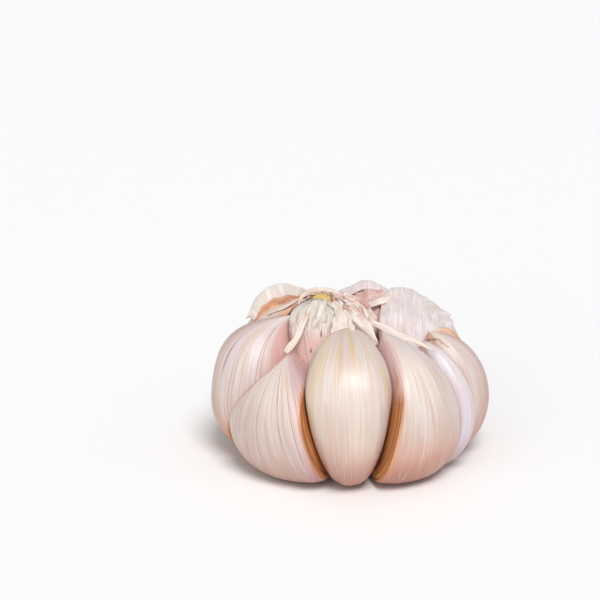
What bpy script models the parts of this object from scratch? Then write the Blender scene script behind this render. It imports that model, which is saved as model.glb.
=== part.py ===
"""Garlic bulb with its outer wrappers peeled away: a ring of ten cloves and one inner clove stand
round the root plate and the dried stalk, with what is left of the papery wrappers at the neck.

The frame's origin is the middle of the root plate's flat underside, +Z is up, and the front
clove faces -Y. Sizes below are in millimetres and become metres when a mesh is made.
"""

import math
from dataclasses import dataclass

import bmesh
import bpy
from mathutils import Vector

MM = 0.001

# Driving dimensions, in millimetres and degrees.
BELLY_HEIGHT = 12.6
BELLY_CLEARANCE = 0.2
SHOULDER_RADIUS = 16.5
ROOT_END = (7.8, 5.0)
SEAM_GAP = 0.2
SEAM_SOFTNESS = 0.45
PLATE_RADIUS = 7.6
PLATE_TOP_RADIUS = 5.4
PLATE_HEIGHT = 3.6
PLATE_EDGE = 0.7
STALK_RADIUS = 2.6
STALK_FOOT = 4.0
STALK_TOP = Vector((-3.2, 0.4, 34.5))
NECK_FOOT = 27.0
NECK_TOP = 34.8
NECK_RADIUS = 4.4
NECK_FLARE = 0.7
SKIN_THICKNESS = 0.5
SKIN_TOP = 33.9
SKIN_DROP = 0.0125

# A clove's outer side is two quarter ellipses that meet at its belly. It starts this far under the
# belly at the root end and runs past the shoulder at the tip end.
OUTER_START = math.radians(-141)
OUTER_END = math.radians(97)
ROOT_BLEND = 0.3
BEAK_START = 0.72
INNER_BOW = 3.4
WEDGE = 0.34

AROUND = 22
ALONG = 16


@dataclass
class Clove:
    """One clove of the ring. Radii are distances from the Z axis."""

    name: str
    reach: float  # radius of the belly
    top: float  # height of the shoulder
    tip_radius: float
    tip_height: float
    tip_turn: float  # degrees the tip bends round the bulb
    plump: float  # width against its room
    point: float  # how sharply it narrows to the tip
    seat: float = SHOULDER_RADIUS  # radius of its lowest place
    wedge: float = WEDGE  # how much wider it is outside than inside


# Each seam is the azimuth of the gap between two neighbours, at the ground and at the bulb's top.
SEAM_TOP = 30.0
RING = [
    (Clove("clove_front", 30.2, 30.4, 11.0, 30.8, -3.0, 1.0, 0.5, 19.5), (259, 240)),
    (Clove("clove_front_right", 30.5, 29.2, 12.3, 29.8, -1.0, 1.2, 0.8, 22.0, 0.6), (281, 295)),
    (Clove("clove_right_sliver", 29.6, 26.4, 17.6, 27.0, 2.0, 1.3, 0.8, 20.5, 0.5), (321, 322)),
    (Clove("clove_right", 30.3, 27.6, 17.6, 27.2, -8.0, 1.05, 0.9, 17.5), (335, 336)),
    (Clove("clove_back_right", 29.8, 30.6, 12.0, 31.0, 4.0, 1.05, 0.6), (371, 376)),
    (Clove("clove_back", 29.8, 31.4, 14.5, 31.4, 0.0, 1.05, 0.5), (421, 425)),
    (Clove("clove_back_middle", 29.0, 30.2, 12.5, 31.0, 0.0, 1.05, 1.0), (452, 455)),
    (Clove("clove_back_left", 29.8, 31.0, 13.5, 31.4, 0.0, 1.05, 0.5), (479, 481)),
    (Clove("clove_left", 30.0, 29.8, 12.5, 30.4, 2.0, 1.05, 0.9, 17.5), (520, 522)),
    (Clove("clove_front_left", 30.4, 24.6, 17.2, 26.6, -5.0, 1.3, 1.4, 22.0, 0.5), (553, 591)),
]

# The inner clove stands behind the seam between the front and front left cloves, in a room whose two
# walls meet in a corner. The corner is this far from the Z axis, and further out higher up.
INNER_FOOT = 6.0
INNER_TOP = 33.8
INNER_WIDTH = 7.5
INNER_SPREAD = math.radians(27)
INNER_CORNER = 11.0
INNER_CORNER_LEAN = 0.3


@dataclass
class Skin:
    """A torn strip of wrapper that ends over a clove's shoulder."""

    name: str
    azimuth: float  # of its outer end, in degrees
    reach: float  # radius of its outer end
    width: float  # half its width beside the neck
    spread: float  # half its width at the outer end


# What is left of the wrappers runs from the neck out over the cloves' shoulders, wider further out.
SKINS = [
    Skin("skin_left", 150, 19.5, 2.2, 4.6),
    Skin("skin_back_left", 116, 19.5, 1.9, 5.6),
    Skin("skin_back", 74, 20.0, 1.9, 6.2),
    Skin("skin_back_right", 34, 20.5, 2.0, 6.4),
    Skin("skin_front_right", 306, 16.0, 1.9, 2.9),
]


def seam_azimuth(index, height):
    """The azimuth of a seam at a height, in radians. Index 10 is the first seam after a full turn."""
    low, high = RING[index % len(RING)][1]
    turn = 360.0 * (index // len(RING))
    return math.radians(low + turn + (high - low) * height / SEAM_TOP)


def kept_behind(distance, softness=SEAM_SOFTNESS):
    """How far to move a point back along a seam's normal so that it ends behind the seam."""
    over = (distance + SEAM_GAP) / softness
    if over > 40:
        return distance + SEAM_GAP
    return softness * math.log1p(math.exp(over))


def squeezed(point, azimuth, outward):
    """The point pressed back behind the upright plane that holds the Z axis and the azimuth."""
    normal = Vector((-math.sin(azimuth), math.cos(azimuth), 0.0)) * outward
    return point - normal * kept_behind(point.dot(normal))


def outer_side(clove, along):
    """Radius and height of the clove's outer side, from the root end at 0 to the tip at 1."""
    angle = OUTER_START + (OUTER_END - OUTER_START) * along
    rise = BELLY_HEIGHT - BELLY_CLEARANCE if angle < 0 else clove.top - BELLY_HEIGHT
    middle = clove.seat if angle < 0 else SHOULDER_RADIUS
    radius = middle + (clove.reach - middle) * math.cos(angle)
    height = BELLY_HEIGHT + rise * math.sin(angle)
    root = max(0.0, 1.0 - along / ROOT_BLEND) ** 2
    radius += (ROOT_END[0] - clove.seat - (clove.reach - clove.seat) * math.cos(OUTER_START)) * root
    height += (ROOT_END[1] - BELLY_HEIGHT - rise * math.sin(OUTER_START)) * root
    beak = max(0.0, (along - BEAK_START) / (1.0 - BEAK_START)) ** 2.2
    end_radius = SHOULDER_RADIUS + (clove.reach - SHOULDER_RADIUS) * math.cos(OUTER_END)
    end_height = BELLY_HEIGHT + (clove.top - BELLY_HEIGHT) * math.sin(OUTER_END)
    radius += (clove.tip_radius - end_radius) * beak
    height += (clove.tip_height - end_height) * beak
    return radius, height


def inner_side(clove, along):
    """Radius and height of the clove's inner ridge, which bows towards the stalk."""
    start, end = outer_side(clove, 0.0), outer_side(clove, 1.0)
    radius = start[0] + (end[0] - start[0]) * along - INNER_BOW * math.sin(math.pi * along)
    height = start[1] + (end[1] - start[1]) * along
    return radius, height


def half_width(clove, along, widest):
    """Half the clove's width across its seams: round at the root end, pointed at the tip."""
    swell = math.sin(math.pi * along**0.92)
    return widest * clove.plump * swell**0.62 * (1.0 - along**6) ** clove.point


def clove_point(clove, azimuth, widest, along, turn):
    """A point of the clove's skin. Turn goes round the clove, and 0 faces away from the stalk."""
    outer, inner = outer_side(clove, along), inner_side(clove, along)
    middle = [(a + b) / 2 for a, b in zip(outer, inner)]
    depth = [(a - b) / 2 for a, b in zip(outer, inner)]
    radius = middle[0] + depth[0] * math.cos(turn)
    height = middle[1] + depth[1] * math.cos(turn)
    side = half_width(clove, along, widest) * math.sin(turn) * (1 + clove.wedge * math.cos(turn))
    lean = math.radians(clove.tip_turn) * along**3
    ray = azimuth + lean
    return Vector(
        (
            radius * math.cos(ray) - side * math.sin(ray),
            radius * math.sin(ray) + side * math.cos(ray),
            height,
        )
    )


def shaped_sphere(place):
    """A closed mesh made from a sphere whose points are moved to place(along, turn)."""
    shape = bmesh.new()
    bmesh.ops.create_uvsphere(shape, u_segments=AROUND, v_segments=ALONG, radius=1.0)
    for vertex in shape.verts:
        along = math.acos(max(-1.0, min(1.0, -vertex.co.z))) / math.pi
        turn = math.atan2(vertex.co.y, vertex.co.x)
        vertex.co = place(along, turn) * MM
    return shape


def add_object(name, shape, material):
    """Put a shape in the bulb's collection as a smooth-shaded object."""
    mesh = bpy.data.meshes.new(name)
    shape.to_mesh(mesh)
    shape.free()
    mesh.shade_smooth()
    mesh.materials.append(material)
    bulb.objects.link(bpy.data.objects.new(name, mesh))


def add_material(name, colour, roughness):
    """A plain material in the sub-part's own colour."""
    material = bpy.data.materials.new(name)
    material.use_nodes = True
    shader = material.node_tree.nodes["Principled BSDF"]
    shader.inputs["Base Color"].default_value = (*colour, 1.0)
    shader.inputs["Roughness"].default_value = roughness
    shader.inputs["Metallic"].default_value = 0.0
    return material


def pressed_to_inner_wall(point, side, inwards):
    """The point pressed back from one wall of the inner clove's room: from outside the room, or,
    with inwards set, from inside it."""
    azimuth = seam_azimuth(0, point.z)
    reach = INNER_CORNER + INNER_CORNER_LEAN * point.z
    corner = Vector((math.cos(azimuth) * reach, math.sin(azimuth) * reach, point.z))
    edge = azimuth - side * INNER_SPREAD
    normal = Vector((-math.sin(edge), math.cos(edge), 0.0)) * side * (1 if inwards else -1)
    return point - normal * kept_behind((point - corner).dot(normal))


def ring_clove(index):
    """One clove of the ring, flattened where it meets its neighbours."""
    clove = RING[index][0]
    middle_height = SEAM_TOP / 2
    low, high = seam_azimuth(index, middle_height), seam_azimuth(index + 1, middle_height)
    azimuth = (low + high) / 2
    widest = (SHOULDER_RADIUS + 5.0) * math.sin((high - low) / 2) * 1.16

    def place(along, turn):
        point = clove_point(clove, azimuth, widest, along, turn)
        point = squeezed(point, seam_azimuth(index, point.z), -1)
        point = squeezed(point, seam_azimuth(index + 1, point.z), 1)
        if clove.name == "clove_front":
            point = pressed_to_inner_wall(point, 1, False)
        if clove.name == "clove_front_left":
            point = pressed_to_inner_wall(point, -1, False)
        return point

    return clove.name, shaped_sphere(place)


def inner_clove():
    """The slim clove that leans on the stalk behind the front ones."""

    def place(along, turn):
        swell = math.sin(math.pi * along)
        height = INNER_FOOT + (INNER_TOP - INNER_FOOT) * along
        azimuth = seam_azimuth(0, height)
        ray = Vector((math.cos(azimuth), math.sin(azimuth), 0.0))
        side = Vector((-ray.y, ray.x, 0.0))
        radius = 7.8 - 1.2 * along + (3.2 + 3.4 * math.cos(turn)) * swell
        across = INNER_WIDTH * swell**0.5 * math.sin(turn) * (0.35 + 0.65 * along)
        point = ray * radius + side * across + Vector((0.0, 0.0, height))
        for wall in (1, -1):
            point = pressed_to_inner_wall(point, wall, True)
        return point

    return shaped_sphere(place)


def root_plate():
    """The dried root end: a low block that narrows upwards, flat below."""
    shape = bmesh.new()
    bmesh.ops.create_cone(
        shape,
        cap_ends=True,
        segments=36,
        radius1=PLATE_RADIUS * MM,
        radius2=PLATE_TOP_RADIUS * MM,
        depth=PLATE_HEIGHT * MM,
    )
    bmesh.ops.translate(shape, vec=(0.0, 0.0, PLATE_HEIGHT * MM / 2), verts=shape.verts)
    rim = [edge for edge in shape.edges if min(end.co.z for end in edge.verts) > PLATE_HEIGHT * MM / 2]
    bmesh.ops.bevel(shape, geom=rim, offset=PLATE_EDGE * MM, segments=3, profile=0.5, affect="EDGES")
    return shape


def stalk():
    """The dried stalk in the middle, bent over to one side as it rises."""

    def place(along, turn):
        height = STALK_FOOT + (STALK_TOP.z - STALK_FOOT) * along
        lean = along**1.6
        radius = STALK_RADIUS * max(0.0, math.sin(math.pi * along)) ** 0.3
        return Vector(
            (
                STALK_TOP.x * lean + radius * math.cos(turn),
                STALK_TOP.y * lean + radius * math.sin(turn),
                height,
            )
        )

    return shaped_sphere(place)


def neck_wrapper():
    """The papery collar round the top of the stalk, open above and below and flared at its foot."""
    shape = bmesh.new()
    bmesh.ops.create_cone(
        shape,
        cap_ends=False,
        segments=24,
        radius1=(NECK_RADIUS + NECK_FLARE) * MM,
        radius2=NECK_RADIUS * MM,
        depth=(NECK_TOP - NECK_FOOT) * MM,
    )
    bmesh.ops.solidify(shape, geom=shape.faces, thickness=SKIN_THICKNESS * MM)
    middle = Vector((STALK_TOP.x * 0.85, STALK_TOP.y * 0.85, (NECK_TOP + NECK_FOOT) / 2))
    bmesh.ops.translate(shape, vec=middle * MM, verts=shape.verts)
    bmesh.ops.recalc_face_normals(shape, faces=shape.faces)
    return shape


def torn_skin(skin):
    """A papery strip, rounded at its ends, from beside the neck to over a clove's shoulder."""
    azimuth = math.radians(skin.azimuth)
    end = Vector((math.cos(azimuth), math.sin(azimuth))) * skin.reach
    way = (end - STALK_TOP.xy).normalized()
    start = STALK_TOP.xy + way * (NECK_RADIUS + 1.2)
    side = Vector((way.y, -way.x))

    def place(along, turn):
        width = skin.width + (skin.spread - skin.width) * along
        rounding = max(0.0, math.sin(math.pi * along)) ** 0.35
        flat = start.lerp(end, along) + side * width * rounding * math.sin(turn)
        fall = max(0.0, flat.length - 5.0) ** 2
        lift = math.copysign(abs(math.cos(turn)) ** 0.4, math.cos(turn)) * rounding
        height = SKIN_TOP - SKIN_DROP * fall + SKIN_THICKNESS / 2 * lift
        return Vector((flat.x, flat.y, height))

    return shaped_sphere(place)


for old in list(bpy.data.objects):
    bpy.data.objects.remove(old)
bulb = bpy.data.collections.new("garlic_bulb")
bpy.context.scene.collection.children.link(bulb)

clove_skin = add_material("clove_skin", (0.86, 0.76, 0.68), 0.38)
for number in range(len(RING)):
    add_object(*ring_clove(number), clove_skin)
add_object("clove_inner", inner_clove(), clove_skin)
papery_skin = add_material("papery_skin", (0.84, 0.76, 0.66), 0.6)
dried_wood = add_material("dried_wood", (0.62, 0.5, 0.33), 0.8)
add_object("root_plate", root_plate(), dried_wood)
add_object("stalk", stalk(), dried_wood)
add_object("neck_wrapper", neck_wrapper(), papery_skin)
for skin in SKINS:
    add_object(skin.name, torn_skin(skin), papery_skin)
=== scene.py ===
# A peeled garlic bulb: pearly cloves round a dry stalk, with torn papery wrappers left at the neck.
import math

import bpy
import numpy as np
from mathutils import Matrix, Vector


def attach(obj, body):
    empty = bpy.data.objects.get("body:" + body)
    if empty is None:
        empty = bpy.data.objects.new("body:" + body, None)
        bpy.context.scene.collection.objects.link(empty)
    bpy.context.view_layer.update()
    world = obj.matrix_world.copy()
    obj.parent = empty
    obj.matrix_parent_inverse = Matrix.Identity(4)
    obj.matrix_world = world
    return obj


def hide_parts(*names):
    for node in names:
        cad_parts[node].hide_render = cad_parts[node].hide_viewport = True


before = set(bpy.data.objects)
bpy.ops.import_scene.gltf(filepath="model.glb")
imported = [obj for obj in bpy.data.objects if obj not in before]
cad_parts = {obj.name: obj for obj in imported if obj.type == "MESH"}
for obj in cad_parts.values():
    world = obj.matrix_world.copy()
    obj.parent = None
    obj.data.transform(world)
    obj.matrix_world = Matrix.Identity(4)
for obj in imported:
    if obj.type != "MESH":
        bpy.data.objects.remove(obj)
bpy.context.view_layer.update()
mm = 0.001
print("frame loaded:", len(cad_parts), "nodes")


class Wire:
    # wraps an output socket, so that sums on it add Math nodes
    def __init__(self, paint, socket):
        self.paint = paint
        self.socket = socket

    def sum(self, operation, first, second=0.0):
        made = self.paint.node("ShaderNodeMath", {"operation": operation}, {0: first, 1: second})
        return Wire(self.paint, made.outputs[0])

    def __add__(self, other):
        return self.sum("ADD", self, other)

    def __radd__(self, other):
        return self.sum("ADD", other, self)

    def __sub__(self, other):
        return self.sum("SUBTRACT", self, other)

    def __rsub__(self, other):
        return self.sum("SUBTRACT", other, self)

    def __mul__(self, other):
        return self.sum("MULTIPLY", self, other)

    def __rmul__(self, other):
        return self.sum("MULTIPLY", other, self)

    def __abs__(self):
        return self.sum("ABSOLUTE", self)


class Paint:
    # one material, built node by node
    def __init__(self, name):
        self.material = bpy.data.materials.new(name)
        self.material.use_nodes = True
        self.tree = self.material.node_tree
        self.shader = self.tree.nodes["Principled BSDF"]

    def node(self, kind, settings=None, sockets=None, stops=None):
        made = self.tree.nodes.new(kind)
        for key, value in (settings or {}).items():
            setattr(made, key, value)
        if stops:
            ramp = made.color_ramp
            while len(ramp.elements) < len(stops):
                ramp.elements.new(0.5)
            for element, (place, shade) in zip(ramp.elements, stops):
                element.position = place
                element.color = shade if len(shade) == 4 else (*shade, 1.0)
        for key, value in (sockets or {}).items():
            self.plug(made.inputs[key], value)
        return made

    def plug(self, socket, value):
        if isinstance(value, Wire):
            self.tree.links.new(value.socket, socket)
        elif isinstance(value, (tuple, list)) and socket.type == "RGBA" and len(value) == 3:
            socket.default_value = (*value, 1.0)
        else:
            socket.default_value = value

    def attribute(self, name, output="Fac"):
        made = self.node("ShaderNodeAttribute", {"attribute_name": name})
        return Wire(self, made.outputs[output])

    def place(self):
        made = self.node("ShaderNodeTexCoord")
        return Wire(self, made.outputs["Object"])

    def height(self):
        apart = self.node("ShaderNodeSeparateXYZ", sockets={0: self.place()})
        return Wire(self, apart.outputs[2]) * 1000.0  # millimetres

    def noise(self, vector, scale, detail=2.0, rough=0.5, stretch=(1, 1, 1), shift=(0, 0, 0), warp=0.0):
        mapped = self.node(
            "ShaderNodeMapping", sockets={"Vector": vector, "Scale": stretch, "Location": shift}
        )
        made = self.node(
            "ShaderNodeTexNoise",
            sockets={
                "Vector": Wire(self, mapped.outputs[0]),
                "Scale": scale,
                "Detail": detail,
                "Roughness": rough,
                "Distortion": warp,
            },
        )
        return Wire(self, made.outputs[0])

    def step(self, value, low, high, bottom=0.0, top=1.0):
        made = self.node(
            "ShaderNodeMapRange",
            {"interpolation_type": "SMOOTHSTEP", "clamp": True},
            {0: value, 1: low, 2: high, 3: bottom, 4: top},
        )
        return Wire(self, made.outputs[0])

    def mix(self, amount, first, second):
        made = self.node(
            "ShaderNodeMix",
            {"data_type": "RGBA", "clamp_factor": True},
            {0: amount, 6: first, 7: second},
        )
        return Wire(self, made.outputs[2])

    def bump(self, height, strength, distance, normal=None):
        sockets = {"Height": height, "Strength": strength, "Distance": distance}
        if normal:
            sockets["Normal"] = normal
        made = self.node("ShaderNodeBump", sockets=sockets)
        return Wire(self, made.outputs[0])

    def finish(self, **sockets):
        for key, value in sockets.items():
            self.plug(self.shader.inputs[key.replace("_", " ")], value)
        return self.material


def tone(red, green, blue):
    # a colour as seen on a screen, 0 to 255, in the linear values that shaders take
    def linear(value):
        value /= 255
        return value / 12.92 if value <= 0.04045 else ((value + 0.055) / 1.055) ** 2.4

    return (linear(red), linear(green), linear(blue))


def handOver(piece, node, material):
    # gives a finished piece its material, its slot, and the CAD node it stands in for
    piece.data.materials.clear()
    piece.data.materials.append(material)
    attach(piece, "root")
    if node:
        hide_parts(node)


def pick(*pieces):
    # selects these alone, the last one active
    bpy.ops.object.select_all(action="DESELECT")
    for piece in pieces:
        piece.select_set(True)
    bpy.context.view_layer.objects.active = pieces[-1]


def store(mesh, name, kind, values):
    made = mesh.attributes.new(name, kind, "POINT")
    key = "vector" if kind == "FLOAT_VECTOR" else "value"
    made.data.foreach_set(key, np.ravel(values).astype(np.float32))


def ripples(points, size, seed):
    # smooth made-up unevenness at each row of points, about -1 to 1, its humps about size apart
    rng = np.random.default_rng(seed)
    total = np.zeros(len(points))
    for _ in range(7):
        way = rng.normal(size=3)
        way *= rng.uniform(0.6, 1.5) * math.pi / size / np.linalg.norm(way)
        total += np.sin(points @ way + rng.uniform(0, 6.28))
    return total / 2.6


def through(before, start, end, after, t):
    # the smooth curve from start to end that comes from before and goes on to after
    square = 2 * before - 5 * start + 4 * end - after
    cube = 3 * start - before - 3 * end + after
    return 0.5 * (2 * start + (end - before) * t + square * t**2 + cube * t**3)


def curve(stations, places):
    # a smooth curve through evenly spaced stations, read at places from 0 to 1
    stations = np.asarray(stations, float)
    if stations.ndim == 1:
        stations = stations[:, None]
    padded = np.vstack([2 * stations[0] - stations[1], stations, 2 * stations[-1] - stations[-2]])
    spot = np.clip(places, 0, 1) * (len(stations) - 1)
    index = np.minimum(spot.astype(int), len(stations) - 2)
    return through(*(padded[index + k] for k in range(4)), (spot - index)[:, None])


def creases(points, seed, size, depth):
    # paper-like folds: sharp ridges between rounded hollows, at three sizes
    total = np.zeros(len(points))
    for share, scale in ((1.0, size), (0.5, size * 0.5), (0.25, size * 0.24)):
        total += share * (0.6 - np.abs(ripples(points, scale, seed)) * 1.6)
        seed += 17
    return total * depth


# The ring of cloves. Heights and radii are in millimetres, as in the CAD,
# and each seam has its azimuth at the ground and at the bulb's top, in degrees.
bulb = {
    "belly": 12.6,
    "clear": 0.2,
    "shoulder": 16.5,
    "rootEnd": (7.8, 5.0),
    "start": math.radians(-141),
    "end": math.radians(97),
    "rootBlend": 0.3,
    "beak": 0.72,
    "bow": 3.4,
    "gap": 0.12,
    "seamTop": 30.0,
    "high": 0.92,  # below 1 moves a clove's widest place up
    "round": 0.62,  # below 1 fills a clove out towards its ends
    "crowd": 1.16,  # a clove is made this much wider than its room, then pressed into it
    "heart": 5.0,  # how far outside the shoulder a clove's middle lies
    "cells": (168, 150),
    "dent": (9.0, 0.22),
}
seams = [(259, 240), (281, 295), (321, 322), (335, 336), (371, 376), (421, 425), (452, 455), (479, 481),
         (520, 522), (553, 591)]
room = {"corner": 11.0, "lean": 0.3, "spread": math.radians(27)}

clovePlans = {
    "clove_front": {
        "seam": 0, "reach": 30.2, "top": 30.4, "tip": (11.0, 30.8), "turn": -3.0, "plump": 1.0,
        "point": 0.3, "seat": 20.5, "wedge": 0.34, "soft": 0.4, "wisp": (-0.4, 0.4, 0.2), "seed": 1,
        "girth": [0, 2.1, 3.6, 4.8, 6.0, 7.2, 8.1, 8.6, 7.6, 5.9, 5.0],
    },
    "clove_front_right": {
        "seam": 1, "reach": 30.5, "top": 29.2, "tip": (12.3, 29.8), "turn": -1.0, "plump": 1.22,
        "point": 0.8, "seat": 22.0, "wedge": 0.6, "soft": 0.2, "wisp": (-0.8, 0.8, 0.5), "seed": 2,
        "swing": -1.0, "lobes": (1.25, 1.1),
    },
    "clove_right_sliver": {
        "seam": 2, "reach": 29.6, "top": 26.4, "tip": (17.6, 27.0), "turn": 2.0, "plump": 1.35,
        "point": 0.7, "seat": 20.5, "wedge": 0.5, "soft": 0.2, "wisp": (0.0, 0.5, 0.2), "seed": 3,
    },
    "clove_right": {
        "seam": 3, "reach": 30.2, "top": 27.6, "tip": (17.6, 27.2), "turn": -8.0, "plump": 1.12,
        "point": 0.9, "seat": 21.0, "wedge": 0.34, "soft": 0.3, "wisp": (-0.6, 0.2, 0.6), "seed": 4,
    },
    "clove_back_right": {
        "seam": 4, "reach": 29.8, "top": 30.6, "tip": (12.0, 31.0), "turn": 4.0, "plump": 1.08,
        "point": 0.5, "seat": 16.5, "wedge": 0.4, "soft": 0.3, "wisp": (0.0, 0.0, 0.4), "seed": 5,
        "shoulder": 18.0,
    },
    "clove_back": {
        "seam": 5, "reach": 29.8, "top": 31.7, "tip": (14.5, 31.4), "turn": 0.0, "plump": 1.1,
        "point": 0.4, "seat": 16.5, "wedge": 0.5, "soft": 0.3, "wisp": (0.0, 0.0, 0.4), "seed": 6,
        "shoulder": 18.0,
    },
    "clove_back_middle": {
        "seam": 6, "reach": 29.0, "top": 30.2, "tip": (12.5, 31.0), "turn": 0.0, "plump": 1.05,
        "point": 1.0, "seat": 16.5, "wedge": 0.34, "soft": 0.3, "wisp": (0.0, 0.0, 0.4), "seed": 7,
    },
    "clove_back_left": {
        "seam": 7, "reach": 29.8, "top": 29.4, "tip": (13.5, 29.6), "turn": 0.0, "plump": 1.1,
        "point": 0.45, "seat": 16.5, "wedge": 0.5, "soft": 0.3, "wisp": (0.0, 0.0, 0.4), "seed": 8,
        "shoulder": 17.0,
    },
    "clove_left": {
        "seam": 8, "reach": 30.0, "top": 29.8, "tip": (12.5, 30.4), "turn": 2.0, "plump": 1.05,
        "point": 0.9, "seat": 17.5, "wedge": 0.4, "soft": 0.25, "wisp": (0.9, -0.2, 0.5), "seed": 9,
        "innerEdge": 1.5, "shoulder": 20.0,
    },
    "clove_front_left": {
        "seam": 9, "reach": 30.4, "top": 24.6, "tip": (17.2, 26.6), "turn": -5.0, "plump": 1.3,
        "point": 1.4, "seat": 22.0, "wedge": 0.5, "soft": 0.18, "wisp": (0.0, 0.3, 0.9), "seed": 10,
        "swing": -2.5, "lobes": (1.0, 1.3),
    },
}


def seamAzimuth(index, height):
    low, high = seams[index % len(seams)]
    whole = 360.0 * (index // len(seams))
    return np.radians(low + whole + (high - low) * height / bulb["seamTop"])


def pressed(points, normal, corner, soft):
    # points past a wall go back behind it; the answer also has how far into the wall each one was
    past = np.einsum("ij,ij->i", points[:, :2] - corner, normal) + bulb["gap"]
    back = soft * np.logaddexp(0.0, past / soft)
    moved = points.copy()
    moved[:, :2] -= normal * back[:, None]
    return moved, past


def wallNormal(azimuth, side):
    return np.stack([-np.sin(azimuth), np.cos(azimuth)], axis=1) * side


def roomWall(points, side, soft):
    # the slanted wall that keeps the two front cloves off the inner clove
    azimuth = seamAzimuth(0, points[:, 2])
    reach = room["corner"] + room["lean"] * points[:, 2]
    corner = np.stack([np.cos(azimuth) * reach, np.sin(azimuth) * reach], axis=1)
    normal = wallNormal(azimuth - side * room["spread"], -side)
    return pressed(points, normal, corner, soft)


def outerSide(plan, along):
    angle = bulb["start"] + (bulb["end"] - bulb["start"]) * along
    rise = np.where(angle < 0, bulb["belly"] - bulb["clear"], plan["top"] - bulb["belly"])
    shoulder = plan.get("shoulder", bulb["shoulder"])
    middle = np.where(angle < 0, plan["seat"], shoulder)
    radius = middle + (plan["reach"] - middle) * np.cos(angle)
    height = bulb["belly"] + rise * np.sin(angle)
    root = np.maximum(0.0, 1.0 - along / bulb["rootBlend"]) ** 2
    footRadius = plan["seat"] + (plan["reach"] - plan["seat"]) * math.cos(bulb["start"])
    footHeight = bulb["belly"] + (bulb["belly"] - bulb["clear"]) * math.sin(bulb["start"])
    radius = radius + (bulb["rootEnd"][0] - footRadius) * root
    height = height + (bulb["rootEnd"][1] - footHeight) * root
    beak = np.maximum(0.0, (along - bulb["beak"]) / (1.0 - bulb["beak"])) ** 2.2
    endRadius = shoulder + (plan["reach"] - shoulder) * math.cos(bulb["end"])
    endHeight = bulb["belly"] + (plan["top"] - bulb["belly"]) * math.sin(bulb["end"])
    return radius + (plan["tip"][0] - endRadius) * beak, height + (plan["tip"][1] - endHeight) * beak


def startSphere():
    # the ball that every clove is pressed out of, made once
    bpy.ops.object.select_all(action="DESELECT")
    around, tall = bulb["cells"]
    bpy.ops.mesh.primitive_uv_sphere_add(segments=around, ring_count=tall, radius=1.0, calc_uvs=False)
    ball = bpy.context.object
    mesh = ball.data
    bpy.data.objects.remove(ball)
    points = np.empty(len(mesh.vertices) * 3)
    mesh.vertices.foreach_get("co", points)
    points = points.reshape(-1, 3)
    along = np.arccos(np.clip(-points[:, 2], -1, 1)) / math.pi
    return mesh, along, np.arctan2(points[:, 1], points[:, 0])


startMesh, startAlong, startTurn = startSphere()


def newClove(name):
    piece = bpy.data.objects.new(name, startMesh.copy())
    piece.data.name = name
    bpy.context.scene.collection.objects.link(piece)
    return piece, startAlong, startTurn


def placePoints(piece, points):
    piece.data.vertices.foreach_set("co", np.ravel(points * mm))
    piece.data.shade_smooth()
    piece.data.update()


def cloveSurface(name, plan, along, turn):
    # points of a clove's skin in millimetres, and how far each was pressed into a neighbour
    middle = np.array([bulb["seamTop"] / 2])
    low, high = seamAzimuth(plan["seam"], middle)[0], seamAzimuth(plan["seam"] + 1, middle)[0]
    azimuth = (low + high) / 2 + math.radians(plan.get("swing", 0.0))
    widest = (bulb["shoulder"] + bulb["heart"]) * math.sin((high - low) / 2) * bulb["crowd"]

    outerRadius, outerHeight = outerSide(plan, along)
    ends = outerSide(plan, np.array([0.0, 1.0]))
    bowed = bulb["bow"] * np.sin(math.pi * along)
    innerRadius = ends[0][0] + (ends[0][1] - ends[0][0]) * along - bowed
    innerHeight = ends[1][0] + (ends[1][1] - ends[1][0]) * along
    facing = np.cos(turn)
    radius = (outerRadius + innerRadius) / 2 + (outerRadius - innerRadius) / 2 * facing
    height = (outerHeight + innerHeight) / 2 + (outerHeight - innerHeight) / 2 * facing
    swell = np.clip(np.sin(math.pi * along ** bulb["high"]), 0, 1)
    half = widest * plan["plump"] * swell ** bulb["round"] * (1.0 - along**6) ** plan["point"]
    if "girth" in plan:
        half = curve(plan["girth"], along)[:, 0] * (1.0 - along**14) ** 0.5
    side = half * np.sin(turn) * (1 + plan["wedge"] * facing)
    lobes = plan.get("lobes", (1.0, 1.0))  # extra width on the low and on the high side
    side *= np.where(turn < 0, lobes[0], lobes[1])

    # soft lengthwise facets and a few broad dents
    rng = np.random.default_rng(plan["seed"])
    facets = np.zeros_like(turn)
    for waves, depth in ((5, 0.10), (9, 0.07), (14, 0.045), (23, 0.03)):
        start = rng.uniform(0, 6.28)
        sway = 0.8 * np.sin(3 * along + rng.uniform(0, 6))
        facets += depth * np.cos(waves * turn + start + sway)
    facets *= swell**0.8
    radius = radius + facets * facing
    side = side + facets * np.sin(turn)

    ray = azimuth + math.radians(plan["turn"]) * along**3
    points = np.stack(
        [
            radius * np.cos(ray) - side * np.sin(ray),
            radius * np.sin(ray) + side * np.cos(ray),
            height,
        ],
        axis=1,
    )
    outward = np.stack([np.cos(ray), np.sin(ray), np.zeros_like(ray)], axis=1)
    spread, depth = bulb["dent"]
    dents = ripples(points, spread, plan["seed"])
    points += outward * (dents * depth * swell * np.maximum(facing, 0))[:, None]

    past = np.full(len(points), -9.0)
    axis = np.zeros((len(points), 2))
    for index, way in ((plan["seam"], -1), (plan["seam"] + 1, 1)):
        normal = wallNormal(seamAzimuth(index, points[:, 2]), way)
        points, into = pressed(points, normal, axis, plan["soft"])
        past = np.maximum(past, into)
    if name in ("clove_front", "clove_front_left"):
        points, into = roomWall(points, 1 if name == "clove_front" else -1, plan["soft"])
        past = np.maximum(past, into)
    wisp = np.clip((along - 0.9) / 0.1, 0, 1) ** 1.6
    points += np.array(plan["wisp"]) * wisp[:, None]
    return points, past


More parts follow.
